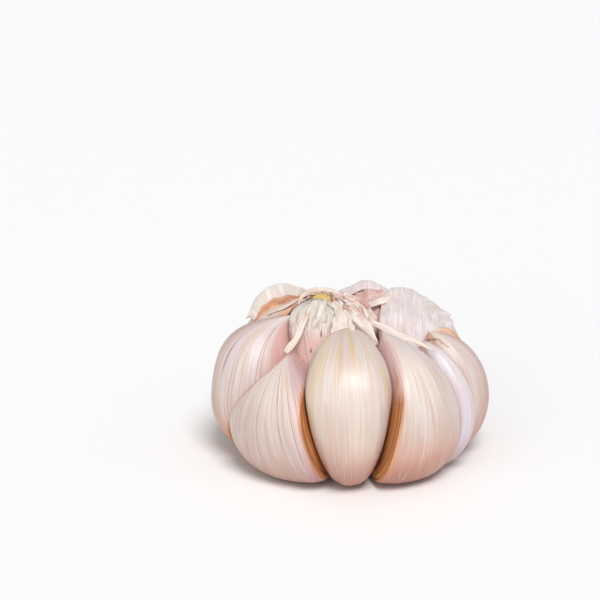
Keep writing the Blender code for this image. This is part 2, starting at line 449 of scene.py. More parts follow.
def markSkin(mesh, along, turn, past, girth, length, innerEdge=1.35):
    # what the skin's colours read: a place along the grain, and how near each point is to an edge
    grain = np.stack([np.cos(turn) * girth, np.sin(turn) * girth, along * length], axis=1)
    store(mesh, "grain", "FLOAT_VECTOR", grain)
    store(mesh, "flank", "FLOAT", 1 / (1 + np.exp(-np.clip((past - 0.1) / 0.25, -30, 30))))
    store(mesh, "rim", "FLOAT", np.exp(-((past / 0.45) ** 2)))
    store(mesh, "inner", "FLOAT", np.clip((np.abs(turn) - innerEdge) / 0.2, 0, 1))


def ringClove(name, plan):
    piece, along, turn = newClove(name.replace("clove", "peeledClove"))
    points, past = cloveSurface(name, plan, along, turn)
    placePoints(piece, points)
    markSkin(piece.data, along, turn, past, 9.0, 32.0, plan.get("innerEdge", 1.35))
    return piece


# The slim clove behind the front ones: its front side rises and leans back into the neck.
innerPlan = {
    "front": [(-5.0, -6.5, 6.0), (-6.4, -12.5, 13.0), (-7.6, -13.6, 20.0), (-8.2, -12.0, 25.5),
              (-8.6, -9.4, 29.6), (-8.2, -6.4, 32.4), (-6.6, -2.6, 34.6)],
    "half": [0.0, 3.0, 3.8, 4.8, 5.3, 5.0, 2.4],
    "depth": [0.0, 2.6, 3.2, 3.0, 2.6, 2.0, 0.6],
}


def innerClove(plan):
    piece, along, turn = newClove("innerClovePeeled")
    front = curve(plan["front"], along)
    closing = np.clip(1 - np.abs(2 * along - 1) ** 8, 0, 1) ** 0.5
    half = curve(plan["half"], along)[:, 0] * closing
    depth = curve(plan["depth"], along)[:, 0] * closing
    way = np.stack([-front[:, 0] * 0.35, np.abs(front[:, 1]) + 1.0, np.zeros(len(front))], axis=1)
    way /= np.linalg.norm(way, axis=1)[:, None]
    side = np.stack([-way[:, 1], way[:, 0], way[:, 2]], axis=1)
    facing = np.cos(turn)
    dry = np.clip((along - 0.62) / 0.25, 0, 1)
    laid = np.stack([turn * 3.0, np.zeros_like(turn), along * 9.0], axis=1)
    wrinkles = creases(laid, 5, 1.7, 0.42)
    points = front + way * (depth * (1 - facing) - (0.12 + dry) * wrinkles * closing)[:, None]
    points += side * (half * np.sin(turn))[:, None] * -1
    points[:, 2] += 0.25 * dry * closing * np.sin(3 * turn + 2)
    placePoints(piece, points)
    markSkin(piece.data, along, turn, np.full(len(points), -9.0), 6.0, 30.0)
    return piece


def newGrid(name, across, down):
    # a flat grid whose points are then placed by their share across and down, 0 to 1
    bpy.ops.object.select_all(action="DESELECT")
    bpy.ops.mesh.primitive_grid_add(x_subdivisions=across, y_subdivisions=down, size=1.0, calc_uvs=False)
    piece = bpy.context.object
    piece.name = name
    piece.data.name = name
    points = np.empty(len(piece.data.vertices) * 3)
    piece.data.vertices.foreach_get("co", points)
    points = points.reshape(-1, 3)
    return piece, points[:, 0] + 0.5, points[:, 1] + 0.5


def thicken(piece, thickness):
    # a wall on a bare sheet, applied
    pick(piece)
    wall = piece.modifiers.new("wall", "SOLIDIFY")
    wall.thickness = thickness * mm
    wall.offset = 0.0
    bpy.ops.object.modifier_apply(modifier=wall.name)


def sheetNormals(points, u, v, across, down):
    order = np.lexsort((np.round(u * across), np.round(v * down)))
    net = points[order].reshape(down + 1, across + 1, 3)
    normal = np.cross(np.gradient(net, axis=1), np.gradient(net, axis=0))
    normal /= np.linalg.norm(normal, axis=2)[:, :, None] + 1e-9
    result = np.empty_like(points)
    result[order] = normal.reshape(-1, 3)
    return result


def finishSheet(piece, points, u, v, across, down, plan):
    normal = sheetNormals(points, u, v, across, down)
    edge = np.minimum(np.minimum(u, 1 - u) * 2, 1)
    fade = np.clip(np.minimum(v, 1 - v) / 0.08 + 0.25, 0, 1)
    width, length = plan.get("grain", (3.0, 12.0))
    laid = np.stack([u * width, np.full_like(u, plan["seed"]), v * length * 0.22], axis=1)
    lift = creases(laid, plan["seed"], plan.get("crease", 1.3), plan.get("depth", 0.22)) * fade
    points = points + normal * lift[:, None]
    placePoints(piece, points)
    grain = np.stack([u * width, np.zeros(len(u)), v * length], axis=1)
    store(piece.data, "grain", "FLOAT_VECTOR", grain)
    store(piece.data, "edge", "FLOAT", np.clip(1 - edge / 0.16, 0, 1))
    thicken(piece, plan.get("thickness", 0.1))


def ribbon(name, plan):
    # a papery strip along a path; across says which way its width lies at each end
    across, down = 14, 60
    piece, u, v = newGrid(name, across, down)
    centre = curve(plan["path"], v)
    ahead = curve(plan["path"], v + 0.01) - curve(plan["path"], v - 0.01)
    ahead /= np.linalg.norm(ahead, axis=1)[:, None]
    start, end = (np.array(way, float) for way in plan["across"])
    side = start[None, :] * (1 - v)[:, None] + end[None, :] * v[:, None]
    side -= ahead * np.einsum("ij,ij->i", side, ahead)[:, None]
    side /= np.linalg.norm(side, axis=1)[:, None]
    upward = np.cross(ahead, side)
    half = curve(plan["half"], v)[:, 0]
    laid = np.stack([u * 3, v * 9, np.full_like(u, plan["seed"])], axis=1)
    offset = (2 * u - 1) * half * (1 + 0.08 * ripples(laid, 1.3, 5))
    bowl = plan.get("cup", 0.4) * half * (1 - (2 * u - 1) ** 2)
    fold = plan.get("fold", 0.1) * half * np.sin(3.2 * math.pi * u + 3 * v + plan["seed"])
    points = centre + side * offset[:, None] + upward * (bowl + fold)[:, None]
    finishSheet(piece, points, u, v, across, down, plan)
    return piece


def hemOnSkin(plan):
    # the hood's outer edge, lying just off its clove: azimuth in degrees and height in mm at each place
    clove = clovePlans[plan["clove"]]
    shoulder = clove.get("shoulder", bulb["shoulder"])
    row = []
    for azimuth, height in plan["hem"]:
        rise = (height - bulb["belly"]) / (clove["top"] - bulb["belly"])
        reach = shoulder + (clove["reach"] - shoulder) * math.sqrt(1 - rise * rise) + plan["off"]
        angle = math.radians(azimuth)
        row.append((reach * math.cos(angle), reach * math.sin(angle), height))
    return plan.get("corner", []) + row


def hood(name, plan):
    # a torn sheet lofted through long curves, from its hem over the crest to its free lip
    across, down = plan.get("cells", (90, 40))
    piece, u, v = newGrid(name, across, down)
    rows = [curve(row, u) for row in [hemOnSkin(plan)] + plan["rows"]]
    flat = np.zeros_like(u)
    torn = ripples(np.stack([u * 9, flat, flat], axis=1), 2.2, plan["seed"])
    torn += 0.3 * ripples(np.stack([u * 9, flat + 1, flat], axis=1), 0.8, plan["seed"] + 3)
    start = np.clip(0.14 + 0.12 * torn, 0, 0.35)
    spot = (start + v * (1 - start)) * (len(rows) - 1)
    index = np.minimum(spot.astype(int), len(rows) - 2)
    stack = np.stack([2 * rows[0] - rows[1]] + rows + [2 * rows[-1] - rows[-2]])
    own = np.arange(len(u))
    points = through(*(stack[index + k, own] for k in range(4)), (spot - index)[:, None])
    finishSheet(piece, points, u, v, across, down, plan)
    return piece


def ruff(name, plan):
    # a wavy papery collar round the neck, with an uneven rim
    around, tall = 110, 26
    piece, u, v = newGrid(name, around, tall)
    angle = u * 2 * math.pi
    seed = plan["seed"]
    wave = 0.5 * np.cos(5 * angle + seed) + 0.35 * np.cos(9 * angle + 2 * seed + 2 * v)
    wave += 0.3 * np.cos(17 * angle + 3 * seed)
    radius = plan["foot"] + (plan["top"] - plan["foot"]) * v**1.5 + plan["wave"] * wave * (0.3 + v)
    rim = 0.35 * np.cos(3 * angle + seed) + 0.25 * np.cos(8 * angle + 2 * seed) + 0.15 * np.cos(21 * angle)
    height = plan["low"] + (plan["high"] + plan["ragged"] * rim + 0.5 * np.sin(angle) - plan["low"]) * v
    x = plan["centre"][0] + plan["lean"][0] * (v - 1) + radius * np.cos(angle)
    y = plan["centre"][1] + plan["lean"][1] * (v - 1) + radius * np.sin(angle)
    placePoints(piece, np.stack([x, y, height], axis=1))
    grain = np.stack([np.cos(angle) * 4, np.sin(angle) * 4, v * 9], axis=1)
    store(piece.data, "grain", "FLOAT_VECTOR", grain)
    store(piece.data, "edge", "FLOAT", np.clip((v - 0.9) / 0.1, 0, 1))
    pick(piece)
    bpy.ops.object.mode_set(mode="EDIT")
    bpy.ops.mesh.select_all(action="SELECT")
    bpy.ops.mesh.remove_doubles(threshold=0.00001)
    bpy.ops.mesh.normals_make_consistent(inside=False)
    bpy.ops.object.mode_set(mode="OBJECT")
    thicken(piece, 0.12)
    return piece


cloveLooks = {
    "cream": tone(205, 185, 172),
    "pearl": tone(214, 204, 200),
    # the pale tone of the painted sheen, also used for the skin's own fine pale streaks
    "sheenAndPaleStreak": tone(240, 234, 230),
    "straw": tone(214, 188, 142),
    "tan": tone(204, 160, 134),
    "blush": tone(208, 150, 134),
    "deep": tone(164, 98, 78),
    "rose": tone(200, 140, 126),
    "amber": tone(214, 138, 74),
    "gold": tone(238, 182, 108),
    "rust": tone(128, 68, 30),
    "lilac": tone(214, 206, 216),
    "vein": tone(160, 104, 128),
}


def cloveSkin(
    name, seed, blush=0.5, straw=0.5, lilac=0.0, lilacFrom=(12.0, 26.0), veins=0.0, amber=1.0,
    sides=(0.0, 0.0), wall=(212, 172, 166), paintedSideShade=None, folds=0.0,
):
    # smooth pearly skin with fine lengthwise streaks, rosy low down and on the flanks; a painted sheen
    # lightens the upper middle of each clove, and painted shade darkens the side of some cloves
    looks = cloveLooks
    paint = Paint(name)
    grain = paint.attribute("grain", "Vector")
    flank = paint.attribute("flank")
    rim = paint.attribute("rim")
    inner = paint.attribute("inner")
    height = paint.height()
    shift = (seed * 3.7, seed * 1.9, seed * 0.7)
    apart = paint.node("ShaderNodeSeparateXYZ", sockets={0: grain})
    sideways = Wire(paint, apart.outputs[1])

    fine = paint.noise(grain, 5.8, 2.0, 0.6, (1, 1, 0.02), shift)
    medium = paint.noise(grain, 1.9, 2.0, 0.5, (1, 1, 0.045), shift)
    broad = paint.noise(grain, 0.42, 2.0, 0.5, (1, 1, 0.2), shift)
    cloud = paint.noise(grain, 0.2, 3.0, 0.55, (1, 1, 1), shift)
    thread = paint.noise(grain, 1.1, 0.0, 0.5, (1, 1, 0.03), (seed, 3.0, seed * 2.0))
    threads = paint.step(abs(thread - 0.5), 0.07, 0.0)
    hairs = paint.step(abs(medium - 0.52), 0.05, 0.0)

    colour = paint.mix(paint.step(broad, 0.3, 0.7), looks["cream"], looks["pearl"])
    if lilac:
        colour = paint.mix(paint.step(height, *lilacFrom) * lilac, colour, looks["lilac"])
    for amount, low, high in ((sides[0], -2.5, -8.0), (sides[1], 2.5, 8.0)):
        if amount:
            colour = paint.mix(paint.step(sideways, low, high) * amount, colour, looks["lilac"])
    strawPatch = paint.step(medium * 0.4 + broad, 0.62, 0.88)
    strawHigh = paint.step(height, 8.0, 25.0, 0.35, 1.0)
    colour = paint.mix(strawPatch * strawHigh * straw, colour, looks["straw"])
    low = paint.step(height, 17.0, 2.0) * (0.5 + 0.9 * cloud) * blush
    colour = paint.mix(low, colour, looks["blush"])
    colour = paint.mix(paint.step(height, 10.0, 0.0) * (0.6 + 0.4 * blush), colour, looks["deep"])
    # painted highlight: a paler sheen patch on the upper middle of the clove, where the top light would glint
    paintedSheen = paint.step(height, 14.0, 22.0) * paint.step(height, 31.0, 25.0)
    paintedSheen = paintedSheen * paint.step(abs(sideways), 9.0, 2.0)
    colour = paint.mix(paintedSheen * (0.2 + 0.9 * broad) * 0.5, colour, looks["sheenAndPaleStreak"])
    # painted shade: a darker, warmer tone on the side of the clove turned away from the light, strongest low
    # down
    if paintedSideShade:
        side, amount, shade, near, far = paintedSideShade
        reach = paint.step(sideways * side, near, far) * paint.step(height, 24.0, 9.0, 0.5, 1.0)
        colour = paint.mix(reach * amount * (0.6 + 0.8 * cloud), colour, tone(*shade))
    colour = paint.mix(paint.step(fine, 0.48, 0.64) * 0.28, colour, looks["tan"])
    colour = paint.mix(paint.step(fine, 0.48, 0.36) * 0.25, colour, looks["sheenAndPaleStreak"])
    colour = paint.mix(threads * paint.step(cloud, 0.45, 0.6) * 0.4, colour, looks["tan"])
    colour = paint.mix(hairs * 0.12, colour, looks["rose"])
    if veins:
        line = paint.noise(grain, 0.8, 0.0, 0.5, (1, 1, 0.02), (seed * 2.3, seed, 4.0))
        thin = paint.step(abs(line - 0.5), 0.035, 0.008) * paint.step(broad, 0.36, 0.5)
        colour = paint.mix(thin * veins, colour, looks["vein"])

    wallTone = tone(*wall)
    flankTop = paint.mix(paint.step(fine, 0.4, 0.65), wallTone, tuple(part * 0.8 for part in wallTone))
    fold = paint.noise(grain, 0.7, 2.0, 0.5, (1, 1, 0.1), shift, 0.6)
    crease = paint.step(abs(fold - 0.5), 0.04, 0.0)
    if folds:
        flankTop = paint.mix(crease * folds, flankTop, looks["rose"])
    flankLow = paint.mix(paint.step(medium, 0.4, 0.6), looks["amber"], looks["rust"])
    flankLow = paint.mix(paint.step(fine, 0.52, 0.68) * 0.8, flankLow, looks["gold"])
    lowShare = paint.step(height + (cloud - 0.5) * 16.0, 25.0, 19.0)
    flankColour = paint.mix(lowShare * amber, flankTop, flankLow)
    edging = paint.mix(paint.step(height, 26.0, 10.0), looks["rose"], looks["amber"])
    colour = paint.mix(rim * 0.75, colour, edging)
    colour = paint.mix(inner * 0.85, colour, flankTop)
    colour = paint.mix(flank * 0.97, colour, flankColour)

    normal = paint.bump(fine * 0.6 + medium * 0.5, 0.22, 0.0004)
    normal = paint.bump(cloud, 0.2, 0.0012, normal)
    if folds:
        normal = paint.bump(fold * paint.step(inner + flank, 0.0, 0.6), folds, 0.004, normal)
    return paint.finish(
        Base_Color=colour, Roughness=0.4 + fine * 0.16 + flank * 0.25, Normal=normal,
        Subsurface_Weight=0.1, Subsurface_Radius=(1.0, 0.55, 0.4), Subsurface_Scale=0.0012,
        Coat_Weight=0.6, Coat_Roughness=0.38,
    )


def innerSkin():
    # rosy below, then a pale greenish and wrinkled skin up to the neck, with two short brown slits
    looks = cloveLooks
    paint = Paint("innerCloveSkin")
    grain = paint.attribute("grain", "Vector")
    height = paint.height()
    fine = paint.noise(grain, 3.6, 3.0, 0.6, (1, 1, 0.05), (2, 5, 1))
    folds = paint.noise(grain, 0.9, 2.0, 0.5, (1, 1, 0.12), (7, 1, 3), 0.4)
    cloud = paint.noise(grain, 0.35, 3.0, 0.6, (1, 1, 0.6), (4, 2, 8))
    rosy = paint.mix(paint.step(height, 26.0, 16.0), tone(216, 178, 168), tone(152, 98, 82))
    rosy = paint.mix(paint.step(fine, 0.5, 0.7) * 0.5, rosy, tone(208, 160, 150))
    rosy = paint.mix(paint.step(cloud, 0.5, 0.35) * 0.6, rosy, tone(212, 190, 188))
    pale = paint.mix(paint.step(cloud, 0.4, 0.6), tone(222, 213, 202), tone(230, 220, 214))
    pale = paint.mix(paint.step(fine, 0.5, 0.7) * 0.45, pale, tone(188, 170, 146))
    pale = paint.mix(paint.step(abs(folds - 0.5), 0.035, 0.0) * 0.6, pale, tone(176, 140, 122))
    share = paint.step(height + (cloud - 0.5) * 5.0, 26.8, 31.2)
    colour = paint.mix(share, rosy, pale)
    apart = paint.node("ShaderNodeSeparateXYZ", sockets={0: paint.place()})
    x = Wire(paint, apart.outputs[0]) * 1000.0 + (fine - 0.5) * 0.3
    for centre, low, high in ((-6.3, 28.4, 30.2), (-8.4, 25.6, 26.8)):
        middle, half = (low + high) / 2, (high - low) / 2
        narrow = paint.step(abs(x - centre), 0.16, 0.06)
        slit = narrow * paint.step(abs(height - middle), half, 0.0, 0.0, 2.0)
        colour = paint.mix(slit, colour, tone(104, 54, 30))
    normal = paint.bump(fine, 0.35, 0.0004)
    normal = paint.bump(folds, 0.6, 0.0014, normal)
    return paint.finish(
        Base_Color=colour, Roughness=0.5 + fine * 0.15, Normal=normal,
        Subsurface_Weight=0.1, Subsurface_Radius=(1.0, 0.55, 0.4), Subsurface_Scale=0.0012, Coat_Weight=0.06,
    )


dryTint = (246, 236, 228)


def papery(name, seed, tint=dryTint, brown=0.5, pink=0.0, green=0.0):
    # thin dry skin: pale, matt, with long fibres, and browner along its torn edges
    paint = Paint(name)
    grain = paint.attribute("grain", "Vector")
    edge = paint.attribute("edge")
    place = paint.place()
    shift = (seed * 2.7, seed * 1.3, seed * 0.9)
    fibre = paint.noise(grain, 4.0, 3.0, 0.6, (1, 1, 0.06), shift)
    band = paint.noise(grain, 1.2, 2.0, 0.5, (1, 1, 0.12), shift)
    cloud = paint.noise(place, 260.0, 3.0, 0.6, (1, 1, 1), shift)
    base = tone(*tint)
    shaded = (base[0] * 0.88, base[1] * 0.83, base[2] * 0.79)
    colour = paint.mix(paint.step(band, 0.35, 0.65), shaded, base)
    colour = paint.mix(paint.step(fibre, 0.48, 0.7) * 0.35, colour, tone(212, 178, 152))
    colour = paint.mix(paint.step(abs(band - 0.5), 0.03, 0.0) * 0.35, colour, tone(204, 160, 148))
    if pink:
        colour = paint.mix(paint.step(cloud, 0.42, 0.6) * pink, colour, tone(206, 152, 142))
    if green:
        colour = paint.mix(paint.step(cloud, 0.58, 0.4) * green, colour, tone(206, 202, 182))
    worn = paint.step(edge + (cloud - 0.5) * 1.2, 0.4, 0.95)
    colour = paint.mix(worn * brown, colour, tone(190, 136, 78))
    normal = paint.bump(fibre, 0.4, 0.0003)
    normal = paint.bump(cloud, 0.25, 0.0005, normal)
    return paint.finish(
        Base_Color=colour, Roughness=0.5 + fibre * 0.15, Normal=normal,
        Subsurface_Weight=0.15, Subsurface_Radius=(1.0, 0.7, 0.5), Subsurface_Scale=0.001,
    )


def stalkEnd(plan):
    # the cut end of the stalk: yellow-green, sunk a little inside its own rim
    piece, along, turn = newClove("stalkCore")
    angle = along * math.pi
    reach = np.sin(angle) ** 0.5
    radius = plan["radius"] * reach * (1 + 0.06 * np.cos(3 * turn + 1) + 0.04 * np.cos(7 * turn))
    height = np.where(along < 0.5, plan["foot"], plan["top"])
    sunk = (1 - reach) * (0.25 * np.cos(5 * turn + 6 * reach) - 0.7)
    height = height + np.where(along > 0.5, sunk, 0)
    share = (height - plan["foot"]) / (plan["top"] - plan["foot"])
    x = plan["at"][0] * share**1.5 + radius * np.cos(turn)
    y = plan["at"][1] * share**1.5 + radius * np.sin(turn)
    placePoints(piece, np.stack([x, y, height], axis=1))
    grain = np.stack([np.cos(turn) * reach * 3, np.sin(turn) * reach * 3, along * 9], axis=1)
    store(piece.data, "grain", "FLOAT_VECTOR", grain)
    return piece


def stalkPaint():
    paint = Paint("stalkGreen")
    grain = paint.attribute("grain", "Vector")
    patch = paint.noise(grain, 0.8, 2.0, 0.5)
    colour = paint.mix(paint.step(patch, 0.35, 0.65), tone(214, 176, 70), tone(226, 208, 150))
    return paint.finish(Base_Color=colour, Roughness=0.5, Normal=paint.bump(patch, 0.4, 0.0006))


skinOf = {
    "clove_front": {
        "seed": 21, "blush": 0.8, "straw": 0.9, "sides": (0.0, 0.5), "lilac": 0.35, "lilacFrom": (27.5, 30.5),
    },
    "clove_front_right": {
        "seed": 2, "blush": 1.4, "straw": 0.35, "sides": (0.0, 0.8), "lilac": 0.6, "lilacFrom": (24.0, 29.0),
        # painted light: this flank tone is lightened to offset the shade the flank sits in
        "wall": (250, 222, 220),
    },
    "clove_right_sliver": {
        "seed": 3, "blush": 0.0, "straw": 0.0, "lilac": 1.0, "lilacFrom": (-20.0, -10.0), "amber": 0.2,
    },
    "clove_right": {
        "seed": 4, "blush": 1.2, "straw": 0.3, "lilac": 0.3, "wall": (222, 182, 160),
        # painted shade on the side of this clove turned away from the light
        "paintedSideShade": (1, 1.0, (178, 116, 108), -6.5, 1.0),
    },
    "clove_back_right": {
        # painted light: this clove's flank tone is lightened to offset the shade the flank sits in
        "seed": 5, "blush": 0.6, "straw": 0.4, "lilac": 0.6, "wall": (240, 228, 224), "amber": 0.0,
        "folds": 0.25,
    },
    "clove_back": {
        # painted light: this clove's flank tone is lightened to offset the shade the flank sits in
        "seed": 6, "blush": 0.6, "straw": 0.5, "wall": (250, 206, 200), "amber": 0.1, "folds": 0.3,
    },
    "clove_back_middle": {"seed": 7, "blush": 0.6, "straw": 0.4},
    "clove_back_left": {"seed": 8, "blush": 0.6, "straw": 0.5, "wall": (230, 170, 132), "amber": 0.3},
    "clove_left": {
        "seed": 9, "blush": 1.2, "straw": 0.4, "lilac": 0.55, "veins": 0.7, "wall": (228, 178, 170),
        # painted shade on the side of this clove turned away from the light
        "paintedSideShade": (-1, 1.0, (182, 120, 92), -5.5, 1.0),
    },
    "clove_front_left": {
        "seed": 10, "blush": 0.25, "straw": 0.5, "veins": 0.8, "sides": (0.0, 0.4),
        # painted shade on the side of this clove turned away from the light
        "paintedSideShade": (1, 1.0, (188, 128, 138), 4.0, 9.0),
    },
}
for name, plan in clovePlans.items():
    piece = ringClove(name, plan)
    handOver(piece, name, cloveSkin("skinOf_" + name, **skinOf[name]))
inner = innerClove(innerPlan)
handOver(inner, "clove_inner", innerSkin())
print("cloves made")


neck = (-6.2, 0.2)
core = stalkEnd({"radius": 1.8, "foot": 4.0, "top": 34.1, "at": neck})
handOver(core, "stalk", stalkPaint())
ruffs = {
    "neckRuffOuter": {
        "foot": 5.2, "top": 3.5, "wave": 0.3, "low": 25.0, "high": 33.6, "ragged": 0.8, "seed": 1,
        "centre": neck, "lean": (-1.5, 0.2),
    },
    "neckRuffInner": {
        "foot": 3.6, "top": 2.6, "wave": 0.2, "low": 27.0, "high": 34.1, "ragged": 0.6, "seed": 4,
        "centre": neck, "lean": (-1.5, 0.2),
    },
}
for name, plan in ruffs.items():
    piece = ruff(name, plan)
    handOver(piece, "neck_wrapper", papery(name + "Paint", plan["seed"], brown=0.7, pink=0.5))

goldenTurn = 2.39996  # radians, spreads the root stubs evenly over the disc
rootPlan = {"radius": 7.4, "edge": 5.6, "top": 3.5, "stubs": 70, "stubRadius": 0.42, "stubLength": 1.5}


def rootPlate(plan):
    # the rough disc under the bulb, with its roots trimmed to short stubs, joined into one piece
    piece, along, turn = newClove("rootPlate")
    angle = along * math.pi
    reach = np.sin(angle) ** 0.35
    radius = np.where(along < 0.5, plan["radius"], plan["edge"]) * reach
    height = np.where(along < 0.5, 1.0, plan["top"]) - np.where(along < 0.5, 0.9, -0.2) * (reach - 1) * 0.5
    points = np.stack([radius * np.cos(turn), radius * np.sin(turn), height], axis=1)
    outward = np.stack([np.cos(turn), np.sin(turn), np.ones_like(turn)], axis=1)
    points += ripples(points, 1.2, 6)[:, None] * outward * 0.18
    placePoints(piece, points)
    store(piece.data, "grain", "FLOAT_VECTOR", points)
    store(piece.data, "edge", "FLOAT", np.zeros(len(points)))
    bpy.ops.object.select_all(action="DESELECT")
    bpy.ops.mesh.primitive_cylinder_add(
        vertices=9, radius=plan["stubRadius"] * mm, depth=plan["stubLength"] * mm
    )
    first = bpy.context.object
    first.data.shade_smooth()
    stubs = [first]
    rng = np.random.default_rng(8)
    for index in range(plan["stubs"]):
        stub = first if index == 0 else first.copy()
        if index:
            stub.data = first.data.copy()
            bpy.context.scene.collection.objects.link(stub)
            stubs.append(stub)
        away = plan["radius"] * 0.86 * math.sqrt((index + 0.5) / plan["stubs"])
        around = index * goldenTurn
        high = rng.uniform(0.86, 1.05)
        stub.location = (away * math.cos(around) * mm, away * math.sin(around) * mm, high * mm)
        stub.rotation_euler = (rng.uniform(-0.18, 0.18), rng.uniform(-0.18, 0.18), 0)
        stub.scale = (rng.uniform(0.7, 1.2), rng.uniform(0.7, 1.2), 1)
    pick(*stubs, piece)
    bpy.ops.object.join()
    return piece


def rootPaint():
    paint = Paint("rootBrown")
    place = paint.place()
    coarse = paint.noise(place, 700.0, 3.0, 0.6)
    fibre = paint.noise(place, 2200.0, 2.0, 0.6, (1, 1, 0.25))
    colour = paint.mix(paint.step(coarse, 0.38, 0.62), tone(150, 112, 76), tone(206, 178, 142))
    colour = paint.mix(paint.step(fibre, 0.5, 0.7) * 0.7, colour, tone(112, 78, 50))
    return paint.finish(Base_Color=colour, Roughness=0.85, Normal=paint.bump(fibre, 0.5, 0.0004))


handOver(rootPlate(rootPlan), "root_plate", rootPaint())
print("neck and root made")

# Torn skins over the back cloves. Each hem is in degrees and millimetres on its clove,
# and the rows in millimetres.
hoods = {
    "hoodBackLeft": {
        "node": "skin_back_left", "clove": "clove_back_left", "off": 0.35, "tint": (243, 234, 228),
        "seed": 21, "depth": 0.06, "crease": 3.6, "thickness": 0.16, "grain": (16, 8),
        "hem": [(151, 24.6), (146, 24.8), (140, 24.8), (134, 25.8), (128, 26.6), (122, 27.6)],
        "rows": [
            [(-21.9, 11.6, 25.6), (-20.6, 15.8, 28.6), (-17.6, 18.4, 30.5),
             (-14.6, 18.8, 31.2), (-11.0, 13.5, 31.9), (-7.4, 4.2, 33.6)],
            [(-20.9, 9.4, 25.6), (-19.0, 12.0, 27.9), (-16.4, 13.0, 29.0),
             (-13.6, 12.0, 30.0), (-10.6, 9.8, 31.2), (-7.2, 3.0, 33.4)],
        ],
    },
    "hoodBack": {
        "node": "skin_back", "clove": "clove_back", "off": 0.3, "tint": (234, 224, 226),
        "seed": 22, "depth": 0.06, "crease": 3.4, "thickness": 0.16, "grain": (14, 8),
        "corner": [(-2.8, 5.6, 33.0)],
        "hem": [(86, 28.6), (77, 26.6), (68, 27.0), (60, 28.6)],
        "rows": [
            [(-3.2, 3.6, 34.0), (0.2, 14.5, 31.8), (3.6, 18.0, 32.3),
             (7.0, 17.4, 31.5), (10.4, 14.0, 29.8)],
            [(-3.0, 2.6, 33.8), (0.6, 9.8, 31.6), (3.2, 13.6, 31.5),
             (6.4, 14.4, 31.0), (9.8, 12.0, 30.0)],
        ],
    },
    "hoodBackRight": {
        "node": "skin_back_right", "clove": "clove_back_right", "off": 0.2, "tint": (240, 231, 233),
        "seed": 23, "depth": 0.24, "crease": 3.4, "thickness": 0.16, "grain": (20, 16),
        "pink": 0.12, "cells": (100, 70),
        "hem": [(58, 28.8), (50, 27.0), (41, 26.0), (33, 26.0), (26, 25.6), (20, 25.2)],
        "rows": [
            [(6.8, 10.8, 30.9), (11.0, 14.6, 31.2), (14.6, 15.0, 30.6),
             (17.8, 12.2, 29.1), (20.6, 7.6, 27.1), (22.8, 2.8, 24.8)],
            [(7.0, 6.4, 30.4), (10.6, 9.2, 30.9), (13.8, 9.8, 30.6),
             (17.0, 8.2, 29.4), (19.8, 4.6, 27.3), (22.2, 0.8, 24.9)],
            [(6.6, 2.8, 29.8), (10.6, 4.6, 30.1), (13.8, 4.6, 29.6),
             (16.8, 3.6, 28.6), (19.2, 1.6, 27.0), (21.4, -1.0, 25.2)],
            [(6.2, -0.6, 28.9), (10.4, 0.4, 28.8), (13.8, 0.0, 28.1),
             (16.6, -0.6, 27.4), (18.8, -2.0, 26.5), (20.4, -3.4, 25.4)],
            [(6.2, -3.0, 25.4), (10.0, -3.6, 24.4), (13.4, -4.2, 24.0),
             (16.0, -4.8, 24.2), (18.2, -5.4, 24.4), (19.6, -6.0, 23.8)],
        ],
    },
}
for name, plan in hoods.items():
    piece = hood(name, plan)
    paint = papery(name + "Paint", plan["seed"], plan["tint"], brown=0.35, pink=plan.get("pink", 0))
    handOver(piece, plan["node"], paint)

